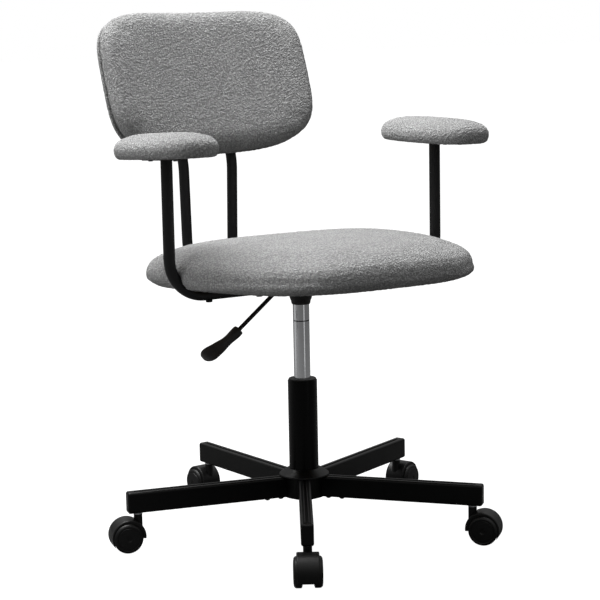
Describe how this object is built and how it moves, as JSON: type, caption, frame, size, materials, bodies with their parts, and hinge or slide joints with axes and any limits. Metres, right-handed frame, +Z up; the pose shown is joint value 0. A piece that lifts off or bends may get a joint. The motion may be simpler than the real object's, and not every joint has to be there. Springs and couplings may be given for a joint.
{
  "type": "swivel task chair",
  "caption": "Height-adjustable swivel task chair with boucle seat, backrest and arm pads on black tubes, gas lift with lever, and a steel star base on twin-wheel casters.",
  "frame": {"origin": "on the floor, on the axis of the gas-lift column", "axes": "+Z up along the column; the sitter faces -Y; +X is the sitter's left"},
  "size_m": [0.6578, 0.7051, 0.8935],
  "materials": {
    "base_steel": "black powder coat, satin",
    "column_steel": "black gloss enamel",
    "frame_steel": "black powder coat, fine texture",
    "chrome": "polished",
    "bright_steel": "zinc plated",
    "black_nylon": "moulded, satin",
    "wheel_nylon": "moulded, satin tread",
    "grip_plastic": "moulded, fine grain",
    "boucle": "grey boucle",
    "plywood": "raw birch plywood"
  },
  "bodies": {
    "base": {"leg_1": "base_steel", "leg_2": "base_steel", "leg_3": "base_steel", "leg_4": "base_steel", "leg_5": "base_steel", "leg_screws": "base_steel", "caster_sockets": "bright_steel", "hub_collar": "base_steel", "hub_pan": "base_steel", "column_tube": "column_steel", "guide_bush": "black_nylon"},
    "piston": {"piston_rod": "bright_steel", "rod_clip": "bright_steel", "thrust_bearing": "bright_steel"},
    "seat": {"pressure_tube": "chrome", "rod_guide": "black_nylon", "lift_socket": "frame_steel", "lift_plate": "frame_steel", "lever_bracket": "frame_steel", "seat_board": "plywood", "seat_cushion": "boucle", "arm_tube_right": "frame_steel", "arm_tube_left": "frame_steel", "arm_board_right": "plywood", "arm_board_left": "plywood", "arm_pad_right": "boucle", "arm_pad_left": "boucle", "arm_screws": "bright_steel", "back_tube_right": "frame_steel", "back_tube_left": "frame_steel", "tube_plugs": "black_nylon", "back_board": "plywood", "back_cover": "boucle", "back_cushion": "boucle", "frame_bolts": "bright_steel", "tee_nuts": "bright_steel"},
    "lever": {"lever_rod": "frame_steel", "lever_grip": "grip_plastic"},
    "button": {"release_button": "bright_steel"},
    "caster_1": {"caster_hood_1": "black_nylon", "caster_pins_1": "bright_steel"},
    "wheel_1a": {"caster_wheel_a_1": "wheel_nylon"},
    "wheel_1b": {"caster_wheel_b_1": "wheel_nylon"},
    "caster_2": {"caster_hood_2": "black_nylon", "caster_pins_2": "bright_steel"},
    "wheel_2a": {"caster_wheel_a_2": "wheel_nylon"},
    "wheel_2b": {"caster_wheel_b_2": "wheel_nylon"},
    "caster_3": {"caster_hood_3": "black_nylon", "caster_pins_3": "bright_steel"},
    "wheel_3a": {"caster_wheel_a_3": "wheel_nylon"},
    "wheel_3b": {"caster_wheel_b_3": "wheel_nylon"},
    "caster_4": {"caster_hood_4": "black_nylon", "caster_pins_4": "bright_steel"},
    "wheel_4a": {"caster_wheel_a_4": "wheel_nylon"},
    "wheel_4b": {"caster_wheel_b_4": "wheel_nylon"},
    "caster_5": {"caster_hood_5": "black_nylon", "caster_pins_5": "bright_steel"},
    "wheel_5a": {"caster_wheel_a_5": "wheel_nylon"},
    "wheel_5b": {"caster_wheel_b_5": "wheel_nylon"}
  },
  "joints": [
    {"name": "seat_swivel", "type": "hinge", "parent": "base", "child": "piston", "pos_m": [0, 0, 0.1], "axis": [0, 0, 1], "continuous": true},
    {"name": "seat_height", "type": "slide", "parent": "piston", "child": "seat", "axis": [0, 0, 1], "range_m": [-0.1, 0]},
    {"name": "lever_lift", "type": "hinge", "parent": "seat", "child": "lever", "pos_m": [-0.032, 0, 0.424], "axis": [0, 1, 0], "range_deg": [0, 6], "stiffness_Nm_per_rad": 1.2, "springref_deg": -14.32},
    {"name": "button_press", "type": "slide", "parent": "seat", "child": "button", "axis": [0, 0, -1], "range_m": [0, 0.0034]},
    {"name": "caster_swivel_1", "type": "hinge", "parent": "base", "child": "caster_1", "pos_m": [-0.14877, -0.25358, 0.06], "axis": [0, 0, 1], "continuous": true},
    {"name": "wheel_spin_1a", "type": "hinge", "parent": "caster_1", "child": "wheel_1a", "pos_m": [-0.1594, -0.27169, 0.025], "axis": [0.8625, -0.506, 0], "continuous": true},
    {"name": "wheel_spin_1b", "type": "hinge", "parent": "caster_1", "child": "wheel_1b", "pos_m": [-0.1594, -0.27169, 0.025], "axis": [0.8625, -0.506, 0], "continuous": true},
    {"name": "caster_swivel_2", "type": "hinge", "parent": "base", "child": "caster_2", "pos_m": [0.19519, -0.21985, 0.06], "axis": [0, 0, 1], "continuous": true},
    {"name": "wheel_spin_2a", "type": "hinge", "parent": "caster_2", "child": "wheel_2a", "pos_m": [0.20914, -0.23556, 0.025], "axis": [0.7478, 0.6639, 0], "continuous": true},
    {"name": "wheel_spin_2b", "type": "hinge", "parent": "caster_2", "child": "wheel_2b", "pos_m": [0.20914, -0.23556, 0.025], "axis": [0.7478, 0.6639, 0], "continuous": true},
    {"name": "caster_swivel_3", "type": "hinge", "parent": "base", "child": "caster_3", "pos_m": [0.26941, 0.1177, 0.06], "axis": [0, 0, 1], "continuous": true},
    {"name": "wheel_spin_3a", "type": "hinge", "parent": "caster_3", "child": "wheel_3a", "pos_m": [0.28865, 0.12611, 0.025], "axis": [-0.4003, 0.9164, 0], "continuous": true},
    {"name": "wheel_spin_3b", "type": "hinge", "parent": "caster_3", "child": "wheel_3b", "pos_m": [0.28865, 0.12611, 0.025], "axis": [-0.4003, 0.9164, 0], "continuous": true},
    {"name": "caster_swivel_4", "type": "hinge", "parent": "base", "child": "caster_4", "pos_m": [-0.02869, 0.2926, 0.06], "axis": [0, 0, 1], "continuous": true},
    {"name": "wheel_spin_4a", "type": "hinge", "parent": "caster_4", "child": "wheel_4a", "pos_m": [-0.03074, 0.3135, 0.025], "axis": [-0.9952, -0.0976, 0], "continuous": true},
    {"name": "wheel_spin_4b", "type": "hinge", "parent": "caster_4", "child": "wheel_4b", "pos_m": [-0.03074, 0.3135, 0.025], "axis": [-0.9952, -0.0976, 0], "continuous": true},
    {"name": "caster_swivel_5", "type": "hinge", "parent": "base", "child": "caster_5", "pos_m": [-0.28714, 0.06313, 0.06], "axis": [0, 0, 1], "continuous": true},
    {"name": "wheel_spin_5a", "type": "hinge", "parent": "caster_5", "child": "wheel_5a", "pos_m": [-0.30765, 0.06764, 0.025], "axis": [-0.2147, -0.9767, 0], "continuous": true},
    {"name": "wheel_spin_5b", "type": "hinge", "parent": "caster_5", "child": "wheel_5b", "pos_m": [-0.30765, 0.06764, 0.025], "axis": [-0.2147, -0.9767, 0], "continuous": true}
  ],
  "couplings": [
    {"joint": "button_press", "follows": "lever_lift", "m_per_rad": 0.032}
  ]
}
